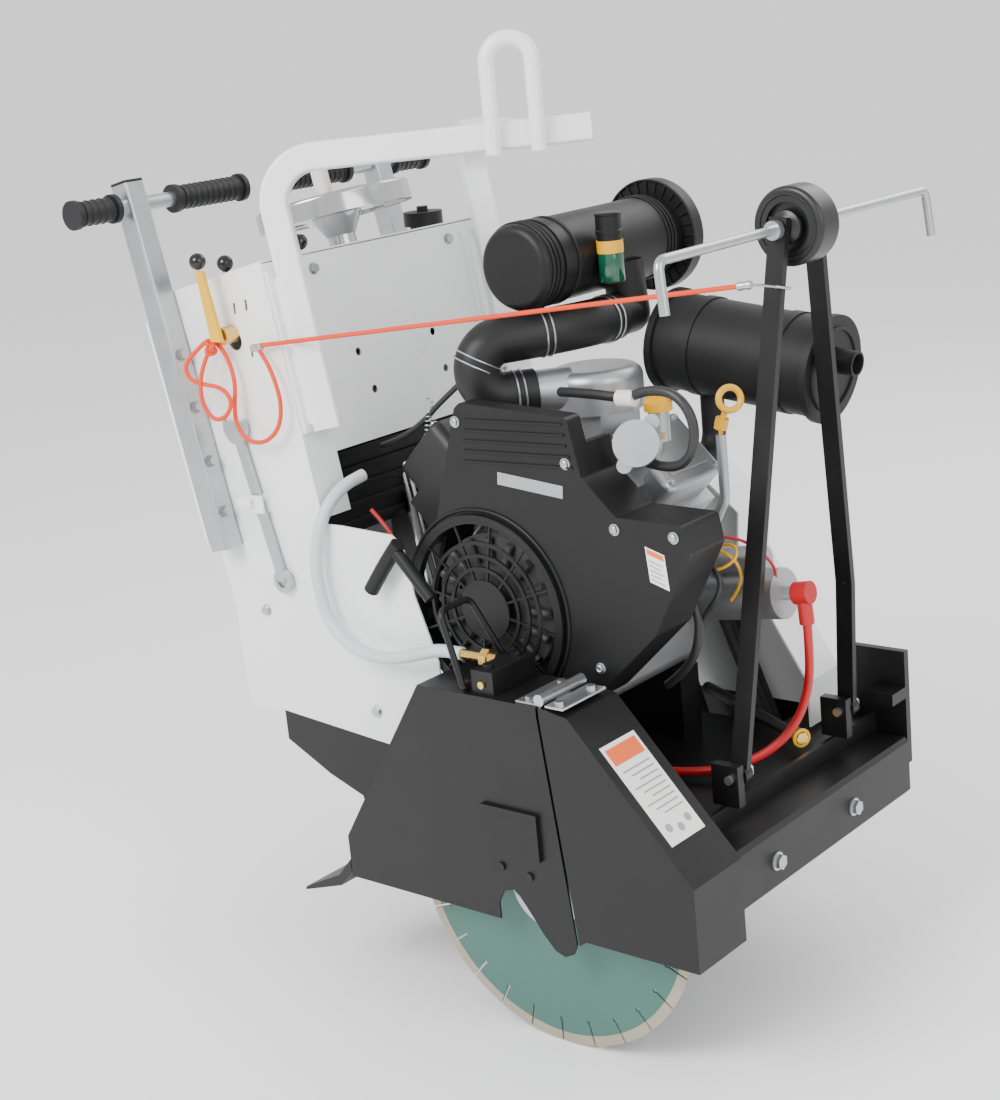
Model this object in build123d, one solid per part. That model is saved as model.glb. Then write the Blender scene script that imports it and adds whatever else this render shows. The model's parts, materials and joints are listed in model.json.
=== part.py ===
from build123d import *
import math
import os

# Walk-behind concrete saw. All sizes are in millimetres, measured from the
# blade's centre: +X is the cutting direction, +Y the operator's left, +Z up.
# emit() moves each finished piece to the part's origin, which is the middle
# of the footprint at the height of the blade's lowest edge.

BLADE_R = 457.2 / 2
ORIGIN = (-218.5, 300.0, -BLADE_R)

# Blade and its drive
CORE_THICK = 3.0
SEGMENT_THICK = 3.6
SEGMENT_HEIGHT = 14.0
SEGMENT_COUNT = 26
SLOT_WIDTH = 3.2
SLOT_DEPTH = 33.0
SLOT_EYE_R = 3.2
ARBOR_R = 25.4 / 2
SHAFT_R = 19.0
SHAFT_GAP = 0.05
PULLEY_Y = (462.0, 512.0)
BLADE_PULLEY_R = 70.0
ENGINE_PULLEY_R = 56.0
BELT_COUNT = 3
BELT_PITCH = 15.0
BELT_WIDTH = 11.0
BELT_DEPTH = 9.0
GROOVE_DEPTH = 10.0
CRANK = (-124.0, 348.0)
CRANK_R = 14.3

# Chassis
PLATE = 6.0
SIDE_Y = (60.0, 540.0)
FRAME_FRONT = 190.0
DECK_Z = 84.0
SKIRT_Z = -38.0
LIP_Z = 93.0
WEIGHT_X = (190.3, 250.0)
WEIGHT_Y = (68.0, 523.0)
WEIGHT_Z = (-18.0, 67.0)

# Console
SHEET = 2.5
PANEL_TOP = (-475.0, 816.0)
PANEL_FOOT = (-409.0, 443.0)
CONSOLE_REAR_TOP = (-723.0, 758.0)
CONSOLE_REAR_FOOT = (-618.0, 300.0)

# Handlebars
POST = 35.0
POST_REACH = 17.9
POST_FOOT = (-601.0, 392.0)
POST_TOP = (-713.0, 930.0)
POST_Y = 41.5
BAR_R = 11.0
BAR_Z = 899.0
GRIP_R = 17.0

# Wheels
REAR_AXLE = (-330.0, -5.0)
REAR_WHEEL_R = 70.0
REAR_WHEEL_Y = (108.0, 492.0)
FRONT_WHEEL_R = 62.0
FRONT_WHEEL_Y = (108.0, 430.0)
FRONT_AXLE = (118.0, -14.0)
YOKE_PIVOT = (-110.0, -10.0)
AXLE_R = 9.5
RUN = 0.05

# Blade guard
GUARD_Y = (-50.0, 55.0)
GUARD_SHEET = 3.0
GUARD_TOP = 275.0
HINGE_AXIS = (49.0, 283.0)
HINGE_PIN_R = 4.0
BAIL_AXIS = (-75.0, 281.0)
BAIL_R = 4.5

# Pointer
POINTER_PIVOT_X = 197.0
POINTER_PIVOT_Z = 132.0
POINTER_FEET_Y = (172.0, 448.0)
PIN_R = 6.0
POINTER_WHEEL = (248.0, 829.0)
POINTER_WHEEL_R = 50.0


# ---------------------------------------------------------------- helpers

def block(x, y, z):
    """A box between two corners, given as three (low, high) pairs."""
    size = [b - a for a, b in (x, y, z)]
    middle = [(a + b) / 2 for a, b in (x, y, z)]
    return Pos(*middle) * Box(*size)


def prism(points, y0, y1):
    """An outline of (x, z) points, made solid between two Y values."""
    face = Plane.XZ * Polygon(*points, align=None)
    return Pos(0, y0, 0) * extrude(face, amount=y1 - y0, dir=(0, 1, 0))


def rod(start, end, radius):
    """A round bar between two points."""
    along = Vector(*end) - Vector(*start)
    place = Plane(origin=start, z_dir=along)
    bottom = (Align.CENTER, Align.CENTER, Align.MIN)
    return place * Cylinder(radius, along.length, align=bottom)


def across(x, z, y0, y1, radius):
    """A round bar along Y."""
    return rod((x, y0, z), (x, y1, z), radius)


def ring(x, z, y0, y1, outer, inner):
    """A flat ring about an axis along Y."""
    return across(x, z, y0, y1, outer) - across(x, z, y0, y1, inner)


def route_radii(points):
    """The largest tangent arcs that the runs of a cord's route allow."""
    radii = []
    for before, here, after in zip(points, points[1:], points[2:]):
        come = Vector(*here) - Vector(*before)
        go = Vector(*after) - Vector(*here)
        half = math.radians(come.get_angle(go)) / 2
        radii.append(0.45 * min(come.length, go.length) / math.tan(half))
    return radii


def cord(name, points, radius):
    """A tube of straight runs joined by tangent arcs, with its radii printed."""
    radii = route_radii(points)
    path = FilletPolyline(*points, radius=radii)
    start = Plane(origin=path @ 0, z_dir=path % 0)
    tube = sweep(start * Circle(radius), path=path)
    ideal = math.pi * radius ** 2 * path.length
    print(f"{name}: length {path.length:.0f}, tightest arc {min(radii):.0f}, "
          f"volume ratio {tube.volume / ideal:.4f}")
    return tube


def bent_bar(points, bends, radius):
    """A bent round bar with one bend radius."""
    path = FilletPolyline(*points, radius=bends)
    start = Plane(origin=path @ 0, z_dir=path % 0)
    return sweep(start * Circle(radius), path=path)


def bolt(seat, out, size=12.0, washer=True):
    """A hexagon head with its washer on a seat, facing out."""
    place = Plane(origin=seat, z_dir=out)
    bottom = (Align.CENTER, Align.CENTER, Align.MIN)
    lift = 0.0
    solid = None
    if washer:
        lift = size * 0.2
        solid = Cylinder(size * 1.05, lift, align=bottom)
    head = Pos(0, 0, lift) * extrude(RegularPolygon(size * 0.87, 6), amount=size * 0.6)
    solid = head if solid is None else solid + head
    return place * solid


def front_x(z):
    """The front panel's outer face at a height."""
    run = (PANEL_FOOT[0] - PANEL_TOP[0]) / (PANEL_TOP[1] - PANEL_FOOT[1])
    return PANEL_TOP[0] + (PANEL_TOP[1] - z) * run


def post_x(z):
    """The middle of a handlebar post at a height."""
    run = (POST_TOP[0] - POST_FOOT[0]) / (POST_TOP[1] - POST_FOOT[1])
    return POST_FOOT[0] + (z - POST_FOOT[1]) * run


def both_sides(solid):
    """The solid and its mirror across the machine's middle plane."""
    middle = Plane(origin=(0, ORIGIN[1], 0), z_dir=(0, 1, 0))
    return [solid, mirror(solid, about=middle)]


def emit(name, *solids):
    """Write one node, moved to the part's origin."""
    move = Pos(-ORIGIN[0], -ORIGIN[1], -ORIGIN[2])
    pieces = []
    for solid in solids:
        pieces += [move * piece for piece in solid.solids()]
    shape = pieces[0] if len(pieces) == 1 else Compound(children=pieces)
    export_step(shape, f"parts/{name}.step")
    return shape


# ---------------------------------------------------------------- chassis

def frame_plates():
    """The welded tray: sides, deck, front, engine rails, axle hangers, mounts."""
    side = [(-545, 250), (-545, 92), (-462, 50), (-399, 27), (-380, SKIRT_Z),
            (FRAME_FRONT - PLATE, SKIRT_Z), (FRAME_FRONT - PLATE, LIP_Z),
            (-200, LIP_Z), (-300, 180), (-380, 250)]
    right = prism(side, SIDE_Y[0] + SHEET, SIDE_Y[0] + SHEET + PLATE)
    shaft_hole = across(0, 0, 40, 560, 42)
    right = right - shaft_hole
    left = prism(side, SIDE_Y[1] - SHEET - PLATE, SIDE_Y[1] - SHEET)
    inner = (SIDE_Y[0] + SHEET + PLATE, SIDE_Y[1] - SHEET - PLATE)
    belt_slot = block((-210, 80), (PULLEY_Y[0] - 14, inner[1] + 1), (0, 200))
    lever_slot = block((-420, -340), (286, 314), (0, 200))
    deck = block((-399, FRAME_FRONT - PLATE), inner, (DECK_Z - PLATE, DECK_Z))
    deck = deck - belt_slot - lever_slot
    front = block((FRAME_FRONT - PLATE, FRAME_FRONT), (SIDE_Y[0] + SHEET, SIDE_Y[1] - SHEET),
                  (SKIRT_Z, LIP_Z))
    rails = [block((-240, -10), (y, y + 45), (DECK_Z, 188)) for y in (150, 340)]
    mount = block((150, 240), (SIDE_Y[1] - 2, SIDE_Y[1] + 10), (20, 190))
    mount = mount + block((190, 240), (500, SIDE_Y[1] + 10), (120, 137))
    feet = [block((168, 209), (y - 24, y - 10), (LIP_Z, 150)) for y in POINTER_FEET_Y]
    pins = across(POINTER_PIVOT_X, POINTER_PIVOT_Z, 100, 500, PIN_R + RUN)
    return [right, left, deck, front, *rails, mount, *[foot - pins for foot in feet]]


def axle_hangers():
    """The rear axle with its hangers, and the front yoke's pin with its lugs."""
    under = DECK_Z - PLATE
    x, z = REAR_AXLE
    px, pz = YOKE_PIVOT
    axle = across(x, z, 74, 526, AXLE_R)
    pin = across(px, pz, 126, 414, AXLE_R)
    hangers = [prism([(x - 32, under), (x + 32, under), (x + 18, z - 20), (x - 18, z - 20)], y, y + 10)
               for y in (150, 440)]
    lugs = [prism([(px - 25, under), (px + 25, under), (px + 15, pz - 18), (px - 15, pz - 18)], y, y + 10)
            for y in (128, 402)]
    return [axle + hangers[0] + hangers[1], pin + lugs[0] + lugs[1]]


def weight_bar():
    """The ballast bar bolted across the frame's front."""
    bar = block(WEIGHT_X, WEIGHT_Y, WEIGHT_Z)
    return chamfer(bar.edges().filter_by(Axis.Y).group_by(Axis.X)[-1], 6)


def fasteners():
    """Hexagon bolts of the chassis, console, lifting frame and handlebars."""
    bolts = [bolt((WEIGHT_X[1] + 0.1, y, 22), (1, 0, 0)) for y in (165, 363)]
    lean = (0.985, 0, 0.174)
    for y in (158, 452):
        bolts.append(bolt((front_x(791) + 0.4, y, 791), lean, 8))
    for x, z in ((-552, 297), (-421, 298), (-345, 170)):
        bolts.append(bolt((x, SIDE_Y[0] - 0.1, z), (0, -1, 0), 8))
    for y in (110, 528):
        bolts.append(bolt((front_x(766) + 5.9, y, 766), lean, 7))
    bolts.append(bolt((front_x(596) + 5.9, 110, 596), lean, 7))
    post_face = (0.979, 0, 0.204)
    for z in (682, 605, 525, 450):
        seat = post_x(z) + POST_REACH + 0.4
        bolts.append(bolt((seat, POST_Y, z), post_face, 9))
        bolts.append(bolt((seat, 2 * ORIGIN[1] - POST_Y, z), post_face, 9))
    return bolts


# ---------------------------------------------------------------- console

def console_sides():
    """The two white side sheets, with the engine skirt and the rope's hole."""
    skirt = [(-375, 443), (-280, 439), (-262, 427), (-254, 405), (-248, 356), (-215, 262)]
    outline = [CONSOLE_REAR_TOP, PANEL_TOP, PANEL_FOOT, *skirt, (-215, 112), (-336, 122),
               (-547, 140), (-604, 134), (-618, 160), (-622, 304)]
    right = prism(outline, SIDE_Y[0], SIDE_Y[0] + SHEET)
    hole = across(-546, 702, 40, 80, 14)
    slots = [block((x, x + 5), (50, 70), (z, z + 16)) for x, z in ((-541, 741), (-516, 746), (-516, 680))]
    right = right - hole - slots[0] - slots[1] - slots[2]
    left = prism(outline, SIDE_Y[1] - SHEET, SIDE_Y[1])
    flange = [(post_x(730) - POST_REACH - 5, 730), (post_x(730) - POST_REACH - 0.3, 730),
              (post_x(400) - POST_REACH - 0.3, 400), (post_x(400) - POST_REACH - 5, 400)]
    angle = prism(flange, POST_Y - POST / 2, SIDE_Y[0])
    return [right, left, *both_sides(angle)]


def sloped_sheet(top, foot, thick, y0, y1):
    """A flat sheet between two (x, z) edges, thickened towards -X."""
    return prism([top, foot, (foot[0] - thick, foot[1]), (top[0] - thick, top[1])], y0, y1)


def console_front():
    """The leaning front panel with its holes and the engine-side opening."""
    inner = (SIDE_Y[0] + SHEET, SIDE_Y[1] - SHEET)
    foot = (front_x(450), 450)
    top = (front_x(812), 812)
    panel = sloped_sheet(top, foot, SHEET, *inner)
    panel = panel - block((-460, -380), (118, 500), (400, 535))
    for y, z in ((208, 662), (372, 662), (223, 604), (382, 604)):
        panel = panel - rod((-520, y, z), (-380, y, z), 6)
    return panel


def console_top():
    """The bent top and rear sheet, with holes for the screw and the controls."""
    inner = (SIDE_Y[0] + SHEET, SIDE_Y[1] - SHEET)
    t = SHEET
    outline = [(PANEL_TOP[0], PANEL_TOP[1]), CONSOLE_REAR_TOP, CONSOLE_REAR_FOOT,
               (CONSOLE_REAR_FOOT[0] + t, CONSOLE_REAR_FOOT[1]),
               (CONSOLE_REAR_TOP[0] + t * 1.3, CONSOLE_REAR_TOP[1] - t),
               (PANEL_TOP[0], PANEL_TOP[1] - t)]
    sheet = prism(outline, *inner)
    sheet = sheet - screw_line(-300, 60, 15)
    for x, y in ((THROTTLE_FOOT[0] + 3, 104), (CHOKE_FOOT[0] + 8, 158)):
        sheet = sheet - block((x - 18, x + 18), (y - 8, y + 8), (700, 900))
    sheet = sheet - rod((-561, 500, 700), (-561, 500, 900), 24)
    sheet = sheet - rod((-760, 420, 690), (-600, 420, 690), 14)
    return sheet


# ---------------------------------------------------------------- lifting frame

APEX = (-196.0, 306.0, 954.0)
DIAGONAL = Vector(330, 266, 5).normalized()


def square_tube(points, bend, size=38.0):
    """A bent square tube along a path in one plane."""
    path = FilletPolyline(*points, radius=bend)
    normal = (Vector(*points[1]) - Vector(*points[0])).cross(Vector(*points[2]) - Vector(*points[1]))
    start = Plane(origin=path @ 0, x_dir=normal, z_dir=path % 0)
    section = RectangleRounded(size, size, 5)
    return sweep(start * section, path=path)


def lift_frame():
    """Two bent tubes that meet over the centre of gravity under a round bail."""
    stand = 30.0
    near_leg = (front_x(578) + stand, 86, 578)
    near_top = (front_x(950) + stand, 86, 950)
    near_end = Vector(*near_top) + DIAGONAL * 455
    near = square_tube([near_leg, near_top, near_end], 62)
    far_leg = (front_x(578) + stand, 514, 578)
    far_top = (front_x(950) + stand, 514, 950)
    joint = Vector(*APEX)
    far = square_tube([far_leg, far_top, joint], 62)
    feet = []
    for y in (91, 509):
        foot = prism([(front_x(800) + 0.3, 800), (front_x(572) + 0.3, 572),
                      (front_x(572) + 5.3, 572), (front_x(800) + 5.3, 800)], y - 27, y + 27)
        rib = prism([(front_x(790) + 4, 790), (front_x(584) + 4, 584),
                     (front_x(584) + 16, 584), (front_x(790) + 16, 790)], y - 18, y + 6)
        feet += [foot, rib]
    side = DIAGONAL.cross(Vector(0, 0, 1)).normalized() * 29
    low = joint + side + Vector(0, 0, -22)
    half = DIAGONAL * 31
    tall = Vector(0, 0, 152)
    bail = bent_bar([(low - half), (low - half + tall),
                     (low + half + tall), (low + half)], 30.5, 11)
    weld = near + far + bail
    for foot in feet:
        weld = weld + foot
    return weld


# ---------------------------------------------------------------- handlebars

def handlebars():
    """A leaning square post and its cross bar on each side."""
    lean = Vector(POST_TOP[0] - POST_FOOT[0], 0, POST_TOP[1] - POST_FOOT[1])
    start = Plane(origin=(POST_FOOT[0], POST_Y, POST_FOOT[1]), x_dir=(0, 1, 0), z_dir=lean)
    outer = extrude(start * RectangleRounded(POST, POST, 4), amount=lean.length)
    inner = extrude(start * Rectangle(POST - 5, POST - 5), amount=lean.length)
    bar = across(post_x(BAR_Z), BAR_Z, -56, 244, BAR_R)
    return both_sides(outer - inner + bar)


def handle_grips():
    """Four ribbed rubber grips with end flanges."""
    x = post_x(BAR_Z)
    grips = []
    for y0, y1 in ((-70, 8), (116, 256)):
        grip = across(x, BAR_Z, y0, y1, GRIP_R)
        grip = grip + across(x, BAR_Z, y0, y0 + 8, GRIP_R + 4) + across(x, BAR_Z, y1 - 8, y1, GRIP_R + 4)
        grip = grip - across(x, BAR_Z, max(y0, -56), min(y1, 244), BAR_R)
        grips += both_sides(grip)
    return grips


def post_caps():
    """Black plastic caps in the posts' open tops."""
    lean = Vector(POST_TOP[0] - POST_FOOT[0], 0, POST_TOP[1] - POST_FOOT[1])
    top = Plane(origin=(POST_TOP[0], POST_Y, POST_TOP[1]), x_dir=(0, 1, 0), z_dir=lean)
    cap = extrude(top * RectangleRounded(POST, POST, 4), amount=4)
    plug = extrude(top * Rectangle(POST - 5, POST - 5), amount=-14)
    return both_sides(cap + plug)


# ---------------------------------------------------------------- blade and guard

def blade_core():
    """The slotted steel disc."""
    half = CORE_THICK / 2
    core = across(0, 0, -half, half, BLADE_R - SEGMENT_HEIGHT)
    cuts = [across(0, 0, -5, 5, ARBOR_R)]
    slot = block((-SLOT_WIDTH / 2, SLOT_WIDTH / 2), (-5, 5), (-BLADE_R, -BLADE_R + SLOT_DEPTH))
    slot = slot + across(0, -BLADE_R + SLOT_DEPTH, -5, 5, SLOT_EYE_R)
    for i in range(SEGMENT_COUNT):
        cuts.append(Rot(0, 360 / SEGMENT_COUNT * i, 0) * slot)
    return core - cuts


def blade_segments():
    """Diamond segments around the rim, one between each pair of slots."""
    half = SEGMENT_THICK / 2
    rim = ring(0, 0, -half, half, BLADE_R, BLADE_R - SEGMENT_HEIGHT)
    pitch = 360 / SEGMENT_COUNT
    reach = BLADE_R + 5
    side = math.atan(SLOT_WIDTH / 2 / BLADE_R)
    a0 = math.radians(-90) + side
    a1 = math.radians(-90 + pitch) - side
    wedge = prism([(0, 0), (reach * math.cos(a0), reach * math.sin(a0)),
                   (reach * math.cos(a1), reach * math.sin(a1))], -5, 5)
    segment = rim & wedge
    return [Rot(0, pitch * i, 0) * segment for i in range(SEGMENT_COUNT)]


def blade_flanges():
    """Inner and outer flanges with the hexagon arbor nut."""
    half = CORE_THICK / 2
    outer = across(0, 0, -half - 10, -half, 57) + across(0, 0, -half - 16, -half - 10, 34)
    outer = outer - across(0, 0, -60, 0, ARBOR_R)
    inner = across(0, 0, half, half + 12, 57) - across(0, 0, 0, 60, ARBOR_R)
    nut_face = Plane(origin=(0, -half - 16, 0), z_dir=(0, -1, 0))
    nut = extrude(nut_face * RegularPolygon(21, 6), amount=16) - across(0, 0, -60, 0, ARBOR_R)
    return [outer, inner, nut]


def blade_shaft():
    """The shaft that carries the blade at one end and its pulley at the other."""
    half = CORE_THICK / 2
    return across(0, 0, half + 12, 520, SHAFT_R) + across(0, 0, -44, half + 12, ARBOR_R)


def shaft_bearings():
    """Two pillow-block bearings under the deck."""
    pieces = []
    for y in (84, 420):
        body = across(0, 0, y, y + 30, 42)
        body = body + block((-62, 62), (y + 2, y + 28), (30, DECK_Z - PLATE))
        pieces.append(body - across(0, 0, y - 1, y + 31, SHAFT_R + SHAFT_GAP))
    return pieces


def pulley(x, z, radius, bore):
    """A grooved pulley for the belts."""
    body = across(x, z, PULLEY_Y[0], PULLEY_Y[1], radius)
    first = (PULLEY_Y[0] + PULLEY_Y[1]) / 2 - BELT_PITCH * (BELT_COUNT - 1) / 2
    for i in range(BELT_COUNT):
        middle = first + i * BELT_PITCH
        half = BELT_WIDTH / 2 + 0.5
        body = body - ring(x, z, middle - half, middle + half, radius + 5, radius - GROOVE_DEPTH)
    return body - across(x, z, PULLEY_Y[0] - 1, PULLEY_Y[1] + 1, bore)


def belt_loop(radius_offset, y0, y1):
    """The outline around both pulleys, grown by an offset, as a solid."""
    cx, cz = CRANK
    small = ENGINE_PULLEY_R + radius_offset
    large = BLADE_PULLEY_R + radius_offset
    gap = math.hypot(cx, cz)
    tilt = math.atan2(cz, cx)
    lean = math.asin((large - small) / gap)
    corners = []
    for sign in (1, -1):
        angle = tilt + sign * (math.pi / 2 - lean)
        far = (cx + small * math.cos(angle), cz + small * math.sin(angle))
        near = (large * math.cos(angle), large * math.sin(angle))
        corners += [near, far] if sign > 0 else [far, near]
    return prism(corners, y0, y1) + across(cx, cz, y0, y1, small) + across(0, 0, y0, y1, large)


def drive_belts():
    """Three belts around the two pulleys, clear of the grooves' floors."""
    first = (PULLEY_Y[0] + PULLEY_Y[1]) / 2 - BELT_PITCH * (BELT_COUNT - 1) / 2
    belts = []
    for i in range(BELT_COUNT):
        y0 = first + i * BELT_PITCH - BELT_WIDTH / 2
        inner = -GROOVE_DEPTH + 0.6
        loop = belt_loop(inner + BELT_DEPTH, y0, y0 + BELT_WIDTH)
        belts.append(loop - belt_loop(inner, y0 - 1, y0 + BELT_WIDTH + 1))
    return belts


def belt_guard():
    """The white cover over the upper part of the belt drive."""
    outer = [(-250, 90), (-250, 400), (-180, 462), (-40, 462), (35, 400), (30, 330), (136, 158), (136, 90)]
    inner = [(-247, 89), (-247, 399), (-179, 459), (-41, 459), (32, 399), (27, 329), (133, 157), (133, 89)]
    return prism(outer, 448, 531) - prism(inner, 440, 528)


def guard_outline():
    """The rear guard's outer face, with the notch and the hub lobe."""
    return [(-322, SKIRT_Z), (-322, 24), (-155, 275), (46, 275), (46, 262), (76, -17), (79, -46),
            (72, -61), (58, -68), (42, -63), (24, -43), (4, -16), (-10, 2), (-20, 10),
            (-38, 4), (-48, -14), (-48, SKIRT_Z)]


def guard_rear():
    """The fixed rear half of the blade guard, open below."""
    y0, y1 = GUARD_Y
    t = GUARD_SHEET
    roof = [(-322, SKIRT_Z), (-322, 24), (-155, GUARD_TOP), (46, GUARD_TOP)]
    under = [(46, GUARD_TOP - t), (-153.5, GUARD_TOP - t), (-322 + t, 23), (-322 + t, SKIRT_Z)]
    shell = prism(roof + under, y0, y1)
    outer = prism(guard_outline(), y0, y0 + t)
    inner_face = [(-322, SKIRT_Z), (-322, 24), (-155, 275), (46, 275), (46, 262), (73, SKIRT_Z)]
    inner = prism(inner_face, y1 - t, y1) - across(0, 0, y1 - 10, y1 + 10, 62)
    stop = block((-59, 34), (y0 - 6, y0), (121, 127)) + block((28, 34), (y0 - 6, y0), (62, 127))
    screws = [across(x, z, y0 - 3, y0, 6) for x, z in ((-37, 40), (10, 35))]
    return shell + outer + inner + stop + screws[0] + screws[1]


def guard_front():
    """The hinged front half of the blade guard."""
    y0, y1 = GUARD_Y
    t = GUARD_SHEET
    face = [(50, 275), (95, 268), (270, 75), (270, SKIRT_Z), (95, SKIRT_Z), (83, -46), (80, -17), (50, 262)]
    roof = [(50, 275), (95, 268), (270, 75), (270, SKIRT_Z),
            (270 - t, SKIRT_Z), (270 - t, 74), (94, 265), (50, 275 - t)]
    shell = prism(roof, y0, y1) + prism(face, y0, y0 + t)
    return shell + prism(face, y1 - t, y1)


def hinge_leaf(side):
    """One zinc hinge leaf with its knuckles; side is -1 rear or +1 front."""
    x, z = HINGE_AXIS
    low, high = GUARD_TOP + 0.3, GUARD_TOP + 3.3
    edge = x + side * 9.5
    outer = x + side * 38
    leaf = block(sorted((edge, outer)), (-46, 44), (low, high))
    knuckles = [(-46, -20), (10, 44)] if side < 0 else [(-19.5, 9.5)]
    for y0, y1 in knuckles:
        leaf = leaf + across(x, z, y0, y1, 8)
        leaf = leaf + block(sorted((edge, x)), (y0, y1), (low, high))
    bore = HINGE_PIN_R if side < 0 else HINGE_PIN_R + RUN
    leaf = leaf - across(x, z, -60, 60, bore)
    if side < 0:
        leaf = leaf + across(x, z, -46, 44, HINGE_PIN_R)
    for y in (-34, 32):
        leaf = leaf + bolt(((edge + outer) / 2, y, high), (0, 0, 1), 7, washer=False)
    return leaf


def guard_block():
    """The water manifold on the guard with its bolts, and the bail's two lugs."""
    body = block((-64, -28), (-42, 46), (GUARD_TOP + 0.2, 307))
    bolts = [bolt((-46, y, 307), (0, 0, 1), 8) for y in (-28, 28)]
    x, z = BAIL_AXIS
    pin = across(x, z, -60, 60, BAIL_R + RUN)
    lugs = [block((x - 7.5, x + 8), (y - 3, y + 3), (GUARD_TOP, z + 8)) - pin for y in (-35, 37)]
    return [body, *bolts, *lugs]


def guard_handle():
    """The bent-rod lifting handle of the guard, its ends turned in as pins."""
    x, z = BAIL_AXIS
    top = (-110, 380)
    return bent_bar([(x, -30, z), (x, -47, z), (top[0], -40, top[1]), (top[0], 20, top[1]),
                     (x, 49, z), (x, 32, z)], [6, 14, 14, 6], BAIL_R)


BARB = ((-64.3, 14, 302), (-92, 14, 302), (-125.9, 14, 302))


def brass_fittings():
    """The hose barb and its hexagon on the manifold's rear face, and its plug."""
    port, neck, tip = BARB
    barb = rod(port, neck, 9) + rod(neck, tip, 7)
    nut_face = Plane(origin=(-78, 14, 302), z_dir=(-1, 0, 0))
    hexagon = extrude(nut_face * RegularPolygon(12.5, 6), amount=12)
    plug = across(-46, 289, -46, -42.2, 5)
    return [barb + hexagon, plug]


def splash_flap():
    """The rubber flap behind the guard."""
    return prism([(-325.3, -34), (-325.3, -14), (-352, -44), (-424, -78), (-427, -84), (-350, -60)], -48, 53)


# ---------------------------------------------------------------- engine

def cylinder_frame(angle, y):
    """A plane at the crank, facing out along one cylinder."""
    a = math.radians(angle)
    return Plane(origin=(CRANK[0], y, CRANK[1]), x_dir=(0, 1, 0), z_dir=(math.cos(a), 0, math.sin(a)))


CYLINDERS = ((45, 256), (135, 227))


def engine_block():
    """Crankcase, the two finned cylinders and the dipstick's tube."""
    cx, cz = CRANK
    case = block((cx - 105, cx + 105), (150, 385), (188.3, cz + 40))
    case = fillet(case.edges().filter_by(Axis.Y), 18)
    boss = across(cx, cz, 385, 430, 52)
    block_body = case + boss
    for angle, y in CYLINDERS:
        place = cylinder_frame(angle, y)
        barrel = place * Pos(0, 0, 110) * Cylinder(48, 120)
        block_body = block_body + barrel
        for i in range(7):
            fin = place * Pos(0, 0, 92 + i * 12) * Box(132, 132, 3)
            block_body = block_body + fin
    x, y, z = DIPSTICK
    tube = bent_bar([(x, y, z - 8), (x, y, z - 96), (x - 33, y, z - 154), (-25, y, 340)], 28, 7)
    tube = tube - rod((x, y, z - 66), (x, y, z), 3.06)
    return block_body + tube - across(cx, cz, 60, 440, CRANK_R + RUN)


def cylinder_heads():
    """The aluminium heads."""
    heads = []
    for angle, y in CYLINDERS:
        place = cylinder_frame(angle, y)
        head = place * Pos(0, 0, 196) * Box(140, 134, 51.5)
        ports = place * Pos(20, 0, 196) * Rot(90, 0, 0) * Cylinder(17, 160)
        heads.append(head - ports)
    return heads


def valve_covers():
    """A rounded cover on each head, with a filler neck on the front one."""
    covers = []
    for angle, y in CYLINDERS:
        place = cylinder_frame(angle, y)
        cover = Pos(0, 0, 246) * Box(128, 108, 48)
        cover = fillet(cover.edges().filter_by(Axis.Z), 16)
        cover = fillet(cover.edges().group_by(Axis.Z)[-1], 8)
        covers.append(place * cover)
    x, y, z = OIL_NECK
    neck = rod((x, y, z - 40), (x, y, z), 14)
    covers[0] = covers[0] + neck
    return covers


OIL_NECK = (62.0, 236.0, 596.0)
DIPSTICK = (128.0, 280.0, 566.0)


def blower_housing():
    """The black fan housing: a round bowl with a lobe over each cylinder."""
    cx, cz = CRANK
    lobes = [(-240, 300), (-239, 352), (-150, 622), (-140, 630), (37, 620), (53, 544),
             (103, 496), (205, 494), (212, 457), (151, 345), (40, 240), (-60, 205), (-190, 205)]
    outer = prism(lobes, 72, 150)
    outer = fillet(outer.edges().filter_by(Axis.Y), 8)
    cavity = prism([(-234, 306), (-233, 352), (-143, 612), (-136, 620), (29, 611), (44, 540),
                    (98, 486), (197, 484), (202, 457), (145, 352), (36, 252), (-62, 217), (-184, 217)], 78, 160)
    shell = outer - cavity
    shell = shell - block((-190, 60), (100, 160), (583, 660))
    shell = shell + ring(cx, cz, 64, 76, 132, 120)
    shell = shell - across(cx, cz, 60, 90, 120)
    grille = across(0, 0, 65, 69, 42)
    for r in (96, 78, 60):
        grille = grille + ring(0, 0, 65, 69, r, r - 5)
    spoke = block((38, 122), (65.5, 68.5), (-1.5, 1.5))
    for i in range(12):
        grille = grille + Rot(0, 30 * i + 10, 0) * spoke
    return [shell + Pos(cx, 0, cz) * grille]


def crankshaft():
    """Crankshaft with its flywheel and fan."""
    cx, cz = CRANK
    shaft = across(cx, cz, 84, 516, CRANK_R)
    wheel = across(cx, cz, 91, 116, 100)
    for i in range(16):
        a = math.radians(i * 22.5)
        start = (cx + 60 * math.cos(a), 86, cz + 60 * math.sin(a))
        end = (cx + 96 * math.cos(a), 86, cz + 96 * math.sin(a))
        wheel = wheel + rod(start, end, 6)
    return shaft + wheel


def oil_cap():
    """The yellow filler cap with its finger grip."""
    x, y, z = OIL_NECK
    cap = rod((x, y, z + 0.3), (x, y, z + 12), 19)
    return cap + block((x - 17, x + 17), (y - 4, y + 4), (z + 12, z + 26))


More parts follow.
